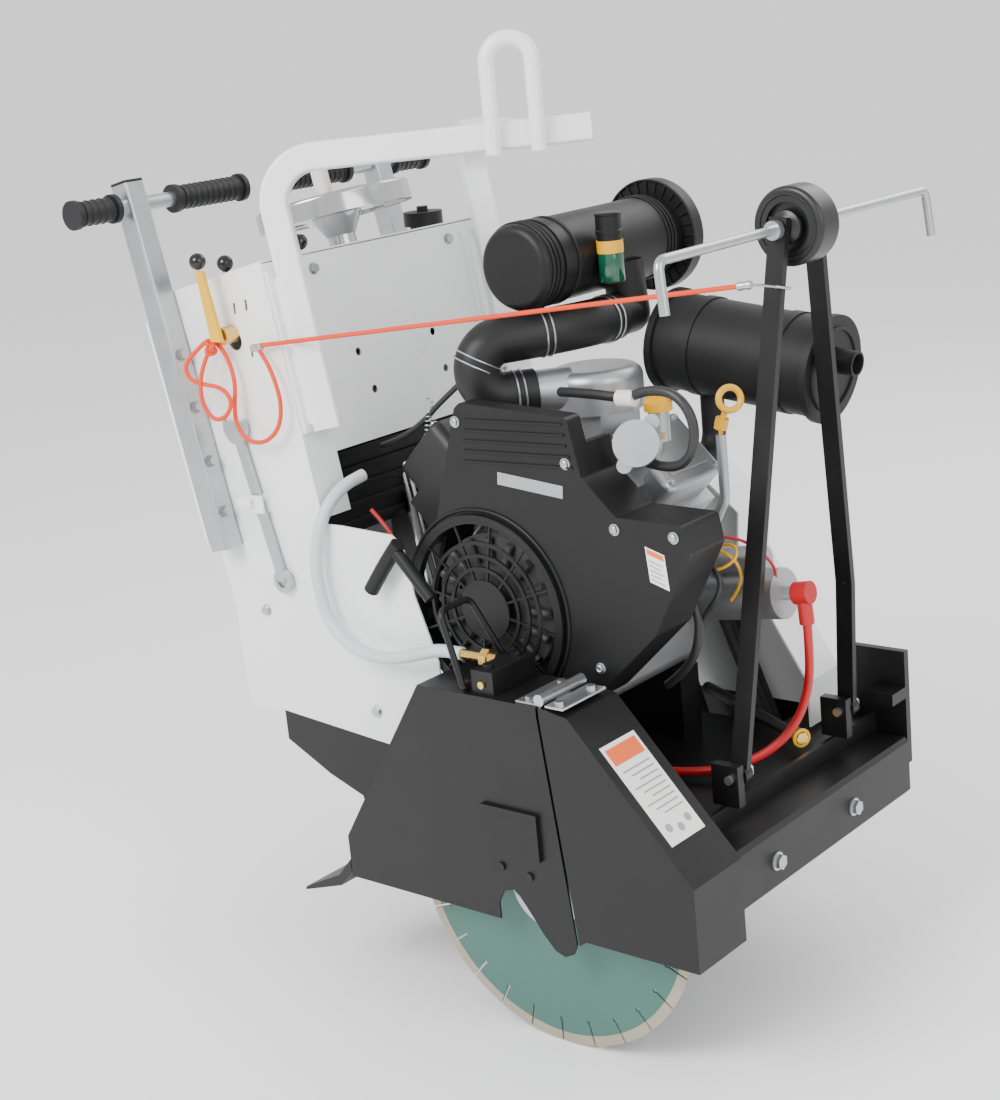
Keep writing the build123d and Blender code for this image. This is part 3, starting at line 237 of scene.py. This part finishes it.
# Slot, material name, colour, roughness, and the rest of what surface() takes. Slots that
# are not in the record are finishes of scene.py's own.
FINISHES = [
    ("black_steel", "black_powder_coat", (0.0045, 0.0045, 0.005), 0.4,
     {"grain": 1400, "bump": 0.22, "mottle": 0.25, "specular": 0.32}),
    ("white_paint", "white_powder_coat", (0.86, 0.87, 0.87), 0.3,
     {"grain": 1100, "bump": 0.12, "mottle": 0.02, "coat": 0.3}),
    ("zinc_steel", "zinc_plate", (0.46, 0.47, 0.48), 0.3,
     {"metal": 0.9, "grain": 260, "bump": 0.25, "mottle": 0.12, "patch": 45}),
    ("blade_paint", "teal_blade_paint", (0.055, 0.145, 0.12), 0.36,
     {"metal": 0.25, "grain": 500, "bump": 0.1, "mottle": 0.1}),
    ("segment_metal", "sintered_segment", (0.40, 0.36, 0.28), 0.6,
     {"metal": 0.55, "grain": 1800, "bump": 0.8, "depth": 0.0004, "mottle": 0.25}),
    ("cast_iron", "cast_iron", (0.05, 0.05, 0.052), 0.55,
     {"metal": 0.4, "grain": 420, "bump": 0.5, "mottle": 0.2}),
    ("belt_rubber", "belt_rubber", (0.02, 0.02, 0.02), 0.8,
     {"grain": 1500, "bump": 0.4, "mottle": 0.2}),
    ("black_rubber", "moulded_rubber", (0.008, 0.008, 0.009), 0.48,
     {"grain": 1000, "bump": 0.3, "mottle": 0.25, "specular": 0.35}),
    ("brass", "machined_brass", (0.70, 0.46, 0.14), 0.27,
     {"metal": 1.0, "grain": 600, "mottle": 0.14}),
    ("engine_alloy", "bead_blasted_alloy", ALLOY, 0.38,
     {"metal": 0.8, "grain": 1300, "bump": 0.5, "mottle": 0.1}),
    ("black_plastic", "grained_plastic", (0.005, 0.005, 0.0055), 0.45,
     {"grain": 1500, "bump": 0.45, "mottle": 0.2, "specular": 0.3}),
    ("yellow_plastic", "yellow_plastic", (0.74, 0.38, 0.002), 0.38,
     {"grain": 700, "mottle": 0.08, "coat": 0.2}),
    ("muffler_steel", "heat_black_paint", (0.006, 0.006, 0.0065), 0.55,
     {"bump": 0.35, "mottle": 0.35, "specular": 0.3}),
    ("polished_alloy", "polished_alloy", (0.50, 0.50, 0.51), 0.17,
     {"metal": 1.0, "grain": 300, "bump": 0.06}),
    ("ivory_plastic", "ivory_plastic", (0.72, 0.70, 0.62), 0.42,
     {"grain": 700, "bump": 0.1}),
    ("red_plastic", "red_plastic", (0.62, 0.02, 0.02), 0.35,
     {"grain": 700, "bump": 0.1, "mottle": 0.08}),
    ("solid_tyre", "solid_tyre", (0.01, 0.01, 0.0105), 0.7,
     {"grain": 700, "bump": 0.5, "mottle": 0.3}),
    ("pointer_tyre", "hard_rubber", (0.006, 0.006, 0.0065), 0.36,
     {"bump": 0.2, "mottle": 0.25}),
    ("grey_hose", "grey_hose", (0.58, 0.60, 0.64), 0.38,
     {"bump": 0.12, "mottle": 0.08, "coat": 0.15}),
    ("red_cable", "red_insulation", (0.42, 0.003, 0.006), 0.42,
     {"mottle": 0.12}),
    ("orange_rope", "orange_braid", (0.78, 0.055, 0.006), 0.75,
     {"grain": 2500, "bump": 0.3, "mottle": 0.12}),
    ("label_white", "label_film", (0.84, 0.84, 0.82), 0.42,
     {"grain": 500, "bump": 0.05, "mottle": 0.03}),
    ("label_orange", "label_orange", (0.85, 0.14, 0.02), 0.42,
     {"grain": 500, "bump": 0.05, "mottle": 0.04}),
    ("label_grey", "label_grey", (0.32, 0.33, 0.34), 0.45,
     {"grain": 500, "bump": 0.05, "mottle": 0.05}),
    ("gauge_green", "gauge_green", (0.005, 0.10, 0.05), 0.12,
     {"grain": 300, "bump": 0.02, "coat": 0.6, "transmission": 0.25}),
    ("wire_black", "wire_black", (0.015, 0.015, 0.016), 0.45,
     {"bump": 0.2, "mottle": 0.2}),
    ("gold_chromate", "gold_chromate", (0.62, 0.50, 0.26), 0.34,
     {"metal": 0.85, "grain": 400, "bump": 0.2, "mottle": 0.3, "patch": 60}),
    ("water_lever", "lever_sleeve", (0.74, 0.42, 0.002), 0.4,
     {"grain": 700, "mottle": 0.08}),
    ("throttle_lever", "throttle_rod", ROD_ZINC, 0.3, {"metal": 0.9, "grain": 300}),
    ("choke_lever", "choke_rod", ROD_ZINC, 0.3, {"metal": 0.9, "grain": 300}),
    ("covers", "covers_dark", (0.01, 0.01, 0.011), 0.5,
     {"grain": 1300, "bump": 0.5, "mottle": 0.1}),
]

# Nodes that take another finish than their slot's: the fan is dark behind its grille, the
# levers have black balls, and the rear cylinder is dark.
OTHER_FINISH = {"crankshaft": "cast_iron", "water_lever": "water_lever",
                "throttle_lever": "throttle_lever", "choke_lever": "choke_lever",
                "valve_covers": "covers", "cylinder_heads": "covers"}
BALL_FOOT = {"water_lever": 808, "throttle_lever": 794, "choke_lever": 817}


def make_materials():
    """Every finish by its slot, with the blade's rings, the rope's strands and the two-tone nodes."""
    materials = {slot: surface(name, color, rough, **more) for slot, name, color, rough, more in FINISHES}
    turned(materials["blade_paint"], at(0, 0, 0), 0.02, 0.25)
    braided(materials["orange_rope"], 0.006)
    for lever, foot in BALL_FOOT.items():
        split(materials[lever], "Z", at(0, 0, foot).z, BALL_BLACK, BALL_ROUGH)
    split(materials["covers"], "X", at(CRANK[0], 0, 0).x, ALLOY, 0.38, 0.8)
    return materials


def paint_nodes():
    """Each CAD node takes the finish of its material slot, or the one in OTHER_FINISH."""
    for part in frame["record"]["subparts"]:
        node = part["node"]
        mesh = frame["nodes"][node].data
        mesh.materials.clear()
        mesh.materials.append(MATERIALS[OTHER_FINISH.get(node, part["material_slot"])])


# --------------------------------------------------------------- piece helpers

SHARP_ANGLE = math.radians(35)
ALONG_Y = (0, 1, 0)
UP = (0, 0, 1)


def place_piece(name, data, body, slot):
    """An object for a mesh or a curve, riding on a body, with the finish of a slot."""
    data.materials.append(MATERIALS[slot])
    piece = bpy.data.objects.new(name, data)
    bpy.context.collection.objects.link(piece)
    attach(piece, body)
    return piece


def add_mesh(name, verts, faces, body, slot, smooth=True, bevel=0.0):
    """A closed mesh piece."""
    mesh = bpy.data.meshes.new(name)
    mesh.from_pydata([tuple(v) for v in verts], [], faces)
    work = bmesh.new()
    work.from_mesh(mesh)
    bmesh.ops.recalc_face_normals(work, faces=work.faces)
    work.to_mesh(mesh)
    work.free()
    if smooth:
        mesh.shade_smooth()
        mesh.set_sharp_from_angle(angle=SHARP_ANGLE)
    piece = place_piece(name, mesh, body, slot)
    if bevel:
        soften = piece.modifiers.new("soften", "BEVEL")
        soften.width = bevel
        soften.segments = 3
    return piece


def axes_for(direction):
    """Two directions square to a direction, and the direction itself, all of length one."""
    w = Vector(direction).normalized()
    side = Vector(UP) if abs(w.z) < 0.9 else Vector((1, 0, 0))
    u = w.cross(side).normalized()
    return u, w.cross(u), w


def lathe(name, centre, direction, profile, body, slot, steps=48):
    """A turned piece. The profile is (distance along the axis, radius) in mm, end to end."""
    u, v, w = axes_for(direction)
    verts, faces = [], []
    for along, radius in profile:
        for i in range(steps):
            out = around(u, v, 2 * math.pi * i / steps)
            verts.append(centre + (w * along + out * radius) * MM)
    rows = len(profile)
    for r in range(rows - 1):
        for i in range(steps):
            j = (i + 1) % steps
            faces.append((r * steps + i, r * steps + j, (r + 1) * steps + j, (r + 1) * steps + i))
    faces.append(tuple(range(steps)))
    faces.append(tuple((rows - 1) * steps + i for i in range(steps)))
    return add_mesh(name, verts, faces, body, slot)


def hoop(name, centre, direction, radius, wire, body, slot, steps=56, sides=10):
    """A round wire ring."""
    u, v, w = axes_for(direction)
    verts, faces = [], []
    for i in range(steps):
        out = around(u, v, 2 * math.pi * i / steps)
        for k in range(sides):
            verts.append(centre + (out * radius + around(out, w, 2 * math.pi * k / sides) * wire) * MM)
    for i in range(steps):
        for k in range(sides):
            j, n = (i + 1) % steps, (k + 1) % sides
            faces.append((i * sides + k, i * sides + n, j * sides + n, j * sides + k))
    return add_mesh(name, verts, faces, body, slot)


def slab(name, corner, along, across, size, body, slot, bevel=0.0006):
    """A thin plate from a corner. Its size is along, across and proud of them, in mm."""
    a = Vector(along).normalized() * size[0] * MM
    b = Vector(across).normalized() * size[1] * MM
    n = a.cross(b).normalized() * size[2] * MM
    verts = [corner, corner + a, corner + a + b, corner + b]
    verts += [p + n for p in verts]
    faces = [(0, 1, 2, 3), (4, 5, 6, 7), (0, 1, 5, 4), (1, 2, 6, 5), (2, 3, 7, 6), (3, 0, 4, 7)]
    return add_mesh(name, verts, faces, body, slot, smooth=False, bevel=bevel)


def spline_curve(name, points, radius, slot, body):
    """A round cord on one smooth NURBS spline."""
    data = bpy.data.curves.new(name, "CURVE")
    data.dimensions = "3D"
    spline = data.splines.new("NURBS")
    spline.points.add(len(points) - 1)
    for point, place in zip(spline.points, points):
        point.co = (*place, 1)
    spline.order_u = 3
    spline.use_endpoint_u = True
    spline.resolution_u = 10
    data.bevel_depth = radius * MM
    data.bevel_resolution = 5
    data.use_fill_caps = True
    return place_piece(name, data, body, slot)


def screw(name, seat, out, size):
    """A domed screw with its flange and its socket."""
    profile = [(0, size * 1.3), (size * 0.18, size * 1.3), (size * 0.25, size), (size * 0.7, size * 0.92),
               (size * 0.85, size * 0.6), (size * 0.6, size * 0.35), (size * 0.6, size * 0.05)]
    return lathe(name, seat, out, profile, "chassis", "zinc_steel", steps=24)


# ------------------------------------------------------------------------ rope

ROPE_R = 3.2
LINE = [at(245, 179, 772), at(-480, 46, 700)]
LOOP_ROUTE = [at(-486, 46, 697), at(-468, 43, 681), at(-454, 42, 653), at(-445, 41, 618), at(-455, 40, 583),
              at(-487, 40, 560), at(-525, 40, 560), at(-544, 40, 583), at(-543, 40, 611), at(-537, 42, 641),
              at(-544, 44, 671), at(-558, 43, 696), at(-575, 38, 709), at(-592, 30, 695), at(-615, 19, 673),
              at(-610, 20, 650), at(-584, 26, 643), at(-554, 30, 640), at(-533, 29, 622), at(-545, 27, 599),
              at(-572, 26, 590), at(-590, 23, 610), at(-589, 20, 640), at(-582, 25, 672), at(-568, 32, 697)]
LINK_ROUTE = [at(248, 179, 773), at(256, 200, 769), at(256, 228, 763), at(250, 244, 759), at(238, 252, 757),
              at(234, 262, 756), at(246, 266, 755), at(262, 258, 756), at(262, 244, 759), at(254, 234, 762)]
LINK_R = 1.8
KNOT_SCALE = 3.3
KNOT_POINTS = 24


def add_ropes():
    """The taut pull line, and the slack loop that hangs from its rear ferrule."""
    pull = LINE[0] - LINE[1]
    route = [LINE[0], (LINE[0] + LINE[1]) / 2, LINE[1]]
    line = spline_curve("pull_line", route, ROPE_R, "orange_rope", "chassis")
    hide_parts("pointer_line")
    ferrule = ferrule_piece("front_ferrule", LINE[0], pull)
    loop = spline_curve("slack_rope", LOOP_ROUTE, ROPE_R, "orange_rope", "chassis")
    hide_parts("slack_loop")
    sleeve = ferrule_piece("rear_ferrule", LOOP_ROUTE[0], pull)
    knot = rope_knot("end_knot", LOOP_ROUTE[-1])


def add_arm_link():
    """The wire link that ties the pull line to the pointer's near arm."""
    spline_curve("arm_link", LINK_ROUTE, LINK_R, "zinc_steel", "pointer")


def rope_knot(name, place):
    """A pulled-up overhand knot, as one closed turn of the same rope."""
    points = []
    for i in range(KNOT_POINTS):
        t = 2 * math.pi * i / KNOT_POINTS
        turn = Vector((math.sin(t) + 2 * math.sin(2 * t), -1.6 * math.sin(3 * t),
                       math.cos(t) - 2 * math.cos(2 * t)))
        points.append(place + turn * KNOT_SCALE * MM)
    points.append(points[0])
    return spline_curve(name, points, ROPE_R, "orange_rope", "chassis")


def ferrule_piece(name, place, direction):
    """A crimped sleeve on the rope."""
    profile = [(-9, 3.4), (-9, 5.2), (-5, 5.8), (-1, 5.0), (1, 5.0), (5, 5.8), (9, 5.2), (9, 3.4)]
    return lathe(name, place, direction, profile, "chassis", "zinc_steel", steps=20)


# ------------------------------------------------------------- engine details

CANISTER = (-126.0, 788.0)
CRANK = (-124.0, 348.0)
SHROUD_Y = 72.0
DRAIN_RUN = (0.88, -0.47, 0)
CLAMP_R, CLAMP_WIRE = 32.6, 1.3
CLAMPS = [(at(-85, 330, 697), (0.05, 1, 0)), (at(-113, 226, 696), (0.5, 0.85, 0.02)),
          (at(-168, 147, 668), (0.3, 0.4, 0.86)), (at(-136, 189, 618.5), (0.6, 0.8, 0))]


def add_hose_clamps():
    """Two wires round the intake hose at each clamp."""
    for i, (place, direction) in enumerate(CLAMPS):
        step = Vector(direction).normalized() * 0.005
        for side in (-1, 1):
            hoop(f"hose_clamp_{i}_{side + 1}", place + step * side, direction, CLAMP_R, CLAMP_WIRE,
                 "chassis", "zinc_steel")


def add_cleaner_details():
    """The canister's ribs, band and slotted end disc, and its service indicator."""
    x, z = CANISTER
    for i, y in enumerate((206, 214, 222, 262, 470, 478, 486)):
        hoop(f"canister_rib_{i}", at(x, y, z), ALONG_Y, 58.4, 2.2, "chassis", "black_plastic")
    lathe("canister_band", at(x, 240, z), ALONG_Y, [(-9, 58.2), (-9, 60), (9, 60), (9, 58.2)],
          "chassis", "black_plastic", steps=64)
    ribs, rib_width = 28, 3.2
    for i in range(ribs):
        a = 2 * math.pi * i / ribs
        out = Vector((math.cos(a), 0, math.sin(a)))
        side = Vector((-math.sin(a), 0, math.cos(a)))
        start = at(x, 504.8, z) + (out * 61 - side * rib_width / 2) * MM
        slab(f"disc_rib_{i}", start, out, side, (16, rib_width, 2.4), "chassis", "black_plastic")
    hoop("disc_rim", at(x, 504.5, z), ALONG_Y, 78, 2.2, "chassis", "black_plastic", steps=72)
    gx, gy = x + 74, 310
    lathe("service_gauge", at(gx, gy, z - 34), UP, [(0, 17.1), (1, 17.8), (52, 17.8), (53, 17.1)],
          "chassis", "gauge_green", steps=40)
    lathe("gauge_band", at(gx, gy, z + 4), UP, [(0, 17.9), (0, 18.3), (17, 18.3), (17, 17.9)],
          "chassis", "yellow_plastic", steps=40)
    lathe("gauge_cap", at(gx, gy, z + 30), UP,
          [(0, 17.1), (0, 18.6), (4, 18.6), (5, 17.6), (24, 17.6), (25, 18.6), (27, 18.6), (28.5, 17),
           (28.6, 4)],
          "chassis", "black_plastic", steps=40)


def add_shroud_details():
    """The fan housing's ribs, plain badge, plain label, grille beads and screws."""
    ribs = ((606, -134, 30), (592, -136, 32), (578, -138, 34), (564, -140, 38), (550, -142, 42))
    for i, (z, x0, x1) in enumerate(ribs):
        slab(f"shroud_rib_{i}", at(x0, SHROUD_Y + 0.2, z), (1, 0, 0.02), UP, (x1 - x0, 3.2, 2.4),
             "chassis", "black_plastic", 0.0009)
    slab("shroud_badge", at(-86, SHROUD_Y + 0.1, 524), (1, 0, -0.1), (0.1, 0, 1), (108, 17, 1.2),
         "chassis", "label_grey")
    tilt, rise = Vector((1, 0, -0.3)), Vector((-0.1, 0, 1))
    foot = at(150, SHROUD_Y - 0.1, 417)
    slab("shroud_label", foot, tilt, rise, (30, 46, 0.6), "chassis", "label_white", 0.0002)
    slab("shroud_label_header", foot + rise * 0.037 + tilt * 0.002, tilt, rise, (26, 7, 0.9),
         "chassis", "label_orange", 0.0002)
    for i in range(5):
        spot = foot + rise * (0.004 + 0.006 * i) + tilt * 0.003
        slab(f"shroud_label_line_{i}", spot, tilt, rise, (22 - 5 * (i % 2), 2, 0.8),
             "chassis", "label_grey", 0.0001)
    for i, radius in enumerate((126, 138)):
        hoop(f"grille_bead_{i}", at(CRANK[0], 66 + i * 5, CRANK[1]), ALONG_Y, radius, 2.4,
             "chassis", "black_plastic", steps=96)
    for i, (x, z) in enumerate(((-150, 604), (30, 560), (100, 480), (190, 478), (-205, 300), (60, 290))):
        screw(f"shroud_screw_{i}", at(x, SHROUD_Y, z), (0, -1, 0), 6)


def add_springs():
    """Two return springs between the front panel and the engine."""
    springs = (((-300, 190, 604), (-318, 190, 512)), ((-330, 232, 506), (-345, 232, 430)))
    turns, per_turn, radius, wire = 14, 8, 5.5, 0.9
    for i, (top, foot) in enumerate(springs):
        start, end = at(*top), at(*foot)
        u, v, _ = axes_for(end - start)
        points = []
        for k in range(turns * per_turn + 1):
            along = start.lerp(end, k / (turns * per_turn))
            points.append(along + around(u, v, 2 * math.pi * k / per_turn) * radius * MM)
        spline_curve(f"return_spring_{i}", points, wire, "zinc_steel", "chassis")


# Name, slot, radius and route of each wire, small hose and moulded handle.
WIRES = [
    ("wire_yellow", "yellow_plastic", 2.2,
     [(140, 200, 424), (172, 196, 430), (196, 204, 408), (190, 214, 376), (168, 220, 352)]),
    ("wire_red", "red_cable", 2.0,
     [(150, 206, 440), (190, 206, 446), (222, 222, 420), (226, 244, 392), (214, 256, 372)]),
    ("wire_loom", "wire_black", 6.0,
     [(138, 160, 400), (150, 172, 350), (142, 176, 300), (120, 178, 262), (86, 178, 236)]),
    ("wire_yellow_2", "yellow_plastic", 2.2,
     [(150, 186, 400), (180, 180, 404), (206, 188, 424), (190, 200, 440), (160, 200, 428)]),
    ("wire_black_2", "wire_black", 4.0,
     [(158, 186, 416), (186, 178, 396), (176, 176, 366), (150, 180, 340), (136, 184, 300)]),
    ("fuel_hose", "wire_black", 6.5,
     [(-50, 175, 628), (20, 150, 634), (78, 148, 631), (115, 146, 645), (160, 144, 642),
      (184, 144, 606), (174, 146, 560), (136, 148, 542), (102, 152, 548)]),
    ("throttle_cable", "wire_black", 4.0,
     [(-215, 205, 650), (-272, 190, 606), (-320, 190, 566), (-367, 190, 540), (-405, 190, 528)]),
    ("pull_cord", "red_cable", 3.0,
     [(-372, 120, 452), (-340, 125, 420), (-310, 95, 410), (-262, 44, 430)]),
    ("pull_handle_upper", "black_plastic", 11.0,
     [(-309, 40, 362), (-284, 40, 394), (-258, 40, 424), (-250, 42, 434)]),
    ("pull_handle_lower", "black_plastic", 9.0,
     [(-256, 40, 426), (-228, 40, 396), (-198, 40, 362)]),
    ("drain_hose", "wire_black", 8.5,
     [(-70, 490, 106), (10, 450, 106), (90, 410, 106), (150, 380, 106)]),
]


def add_wiring():
    """Wires and small hoses round the engine, with the sleeve and the drain's brass end."""
    for name, slot, radius, route in WIRES:
        spline_curve(name, [at(*place) for place in route], radius, slot, "chassis")
    lathe("lead_sleeve", at(64, 148, 631), (1, 0, 0.02), [(0, 7), (1, 10.5), (27, 10.5), (28, 7)],
          "chassis", "ivory_plastic", steps=28)
    lathe("drain_end", at(148, 381, 106), DRAIN_RUN,
          [(0, 9), (0, 12), (14, 12), (14, 9.5), (26, 9.5), (26, 4)], "chassis", "brass", steps=6)
    hoop("drain_ring", at(168, 370.5, 106), DRAIN_RUN, 11.5, 2.5, "chassis", "yellow_plastic", steps=28)


def add_valve_cover_panels():
    """A raised plain panel and four bolts on each valve cover."""
    cover_reach, panel, inset = 270, (84, 68, 2.0), 0.0004
    for i, (angle, y) in enumerate(((45, 256), (135, 227))):
        a = math.radians(angle)
        out = Vector((math.cos(a), 0, math.sin(a)))
        side = Vector((-math.sin(a), 0, math.cos(a)))
        face = at(CRANK[0], y, CRANK[1]) + out * cover_reach * MM
        corner = face - side * panel[1] / 2 * MM - Vector(ALONG_Y) * panel[0] / 2 * MM
        slab(f"cover_panel_{i}", corner, ALONG_Y, side, panel, "chassis", "engine_alloy", 0.0012)
        for k, (s, t) in enumerate(((-44, -52), (-44, 52), (44, -52), (44, 52))):
            seat = face + side * s * MM + Vector(ALONG_Y) * t * MM - out * inset
            screw(f"cover_bolt_{i}_{k}", seat, out, 4.5)


def add_bay_painted_shade_and_parts():
    """A dark ribbed sheet behind the front panel's opening: painted shade for the console's shaded interior,
    partly standing in for the dark hoses and parts seen there.
    """
    up = Vector((0.12, 0, 1))
    # The black sheet and its ribs are painted shade, partly standing in for dark hoses and parts.
    slab("bay_painted_shade_and_parts", at(-476, 96, 392), ALONG_Y, up, (400, 150, 3), "chassis", "black_steel")
    for i in range(5):
        slab(f"bay_liner_rib_{i}", at(-472 + 3.4 * i, 100, 404 + 28 * i), ALONG_Y, up, (392, 9, 5),
             "chassis", "black_steel")


def add_fuel_pump_details():
    """The pump's diaphragm cover with its rim, boss, screws and plated bracket."""
    out = Vector((0.45, -0.85, 0.25)).normalized()
    u, v, _ = axes_for(out)
    face = at(90, 150.5, 572)
    hoop("pump_rim", face + out * 0.0004, out, 28.5, 1.8, "chassis", "engine_alloy", steps=48)
    lathe("pump_boss", face, out, [(-1, 17), (2, 16.5), (4, 12), (4, 9), (8, 8.5), (9, 7), (9, 2)],
          "chassis", "engine_alloy", steps=40)
    for i in range(6):
        spot = face + around(u, v, math.radians(60 * i + 20)) * 23 * MM
        screw(f"pump_screw_{i}", spot, out, 2.6)
    slab("pump_bracket", face + (u * -34 + v * -14) * MM - out * 0.006, u, v, (68, 9, 2.5),
         "chassis", "gold_chromate")


def add_muffler_details():
    """Two straps and a bead at the muffler's end."""
    axis = Vector((0.9914, 0, -0.1305))
    end = at(212, 430, 618)
    for i, back in enumerate((60, 198)):
        lathe(f"muffler_strap_{i}", end - axis * back * MM, axis, [(-8, 67.8), (-8, 70), (8, 70), (8, 67.8)],
              "chassis", "muffler_steel", steps=72)
    hoop("muffler_end_bead", end + axis * 0.001, axis, 56, 2.5, "chassis", "muffler_steel", steps=72)


# -------------------------------------------------------------- other details

POST_FOOT, POST_TOP = (-601.0, 392.0), (-713.0, 930.0)
BAR_Z = 899.0
BAR_X = POST_FOOT[0] + (BAR_Z - POST_FOOT[1]) * (POST_TOP[0] - POST_FOOT[0]) / (POST_TOP[1] - POST_FOOT[1])
MIDDLE_Y = 300.0
GUARD_SLOPE = at(95, 0, 268), at(270, 0, 75)
WHEEL_HUB = at(-556, 300, 858)
WHEEL_LEAN = math.radians(12)
ROLLER = (248, 829)


def add_guard_label():
    """A plain warning panel on the guard's sloped face, with no lettering."""
    top, foot = GUARD_SLOPE
    down = (foot - top).normalized()
    right = Vector((0, -1, 0))
    corner = top + down * 0.053 - right * 0.037
    slab("guard_label", corner, right, down, (72, 150, 0.6), "guard_flap", "label_white", 0.0002)
    slab("guard_label_header", corner + down * 0.006 + right * 0.005, right, down, (62, 24, 0.9),
         "guard_flap", "label_orange", 0.0002)
    for i in range(9):
        spot = corner + down * (0.040 + 0.0085 * i) + right * 0.007
        slab(f"guard_label_line_{i}", spot, right, down, (56 - 9 * (i % 3), 2.4, 0.8),
             "guard_flap", "label_grey", 0.0001)
    for i in range(3):
        spot = corner + down * (0.128 + 0.006 * (i % 2)) + right * (0.016 + 0.02 * i)
        lathe(f"guard_label_mark_{i}", spot, right.cross(down), [(0.2, 6), (0.9, 6), (0.9, 1)],
              "guard_flap", "label_grey", steps=28)


def add_grip_ribs():
    """Raised ribs round each of the four rubber grips."""
    for side in (1, -1):
        for name, count, start, pitch in (("grip_rib", 11, 132, 11), ("outer_rib", 5, -54, 12)):
            for i in range(count):
                y = MIDDLE_Y + side * (start + i * pitch - MIDDLE_Y)
                hoop(f"{name}_{i}_{side + 1}", at(BAR_X, y, BAR_Z), ALONG_Y, 17.0, 1.6,
                     "chassis", "black_rubber", steps=32, sides=8)


def add_handwheel_details():
    """The polished boss and rim bead, square to the leaning screw."""
    lean = Vector((-math.sin(WHEEL_LEAN), 0, math.cos(WHEEL_LEAN)))
    lathe("handwheel_boss", WHEEL_HUB, lean, [(-22, 24), (-8, 26), (2, 26), (8, 20), (14, 12), (15, 2)],
          "depth_control", "polished_alloy", steps=56)
    hoop("handwheel_rim_bead", WHEEL_HUB + lean * 0.0125, lean, 113, 5.2,
         "depth_control", "polished_alloy", steps=96, sides=12)


def add_pointer_details():
    """A stepped hub and a groove on each side of the pointer's wheel."""
    x, z = ROLLER
    for i, (y, out) in enumerate(((274, -1), (326, 1))):
        lathe(f"roller_hub_{i}", at(x, y, z), (0, out, 0),
              [(-3, 22), (0.5, 21), (2, 16), (4, 14), (5, 8.5), (5, 7)],
              "pointer_roller", "pointer_tyre", steps=40)
        hoop(f"roller_groove_{i}", at(x, y - out * 3.2, z), ALONG_Y, 40, 1.6,
             "pointer_roller", "pointer_tyre", steps=72)


# -------------------------------------------------------------------- assembly

MATERIALS = make_materials()

add_camera()
add_studio()
paint_nodes()
add_ropes()
add_arm_link()
add_hose_clamps()
add_cleaner_details()
add_shroud_details()
add_springs()
add_wiring()
add_valve_cover_panels()
add_bay_painted_shade_and_parts()
add_fuel_pump_details()
add_guard_label()
add_grip_ribs()
add_handwheel_details()
add_pointer_details()
add_muffler_details()
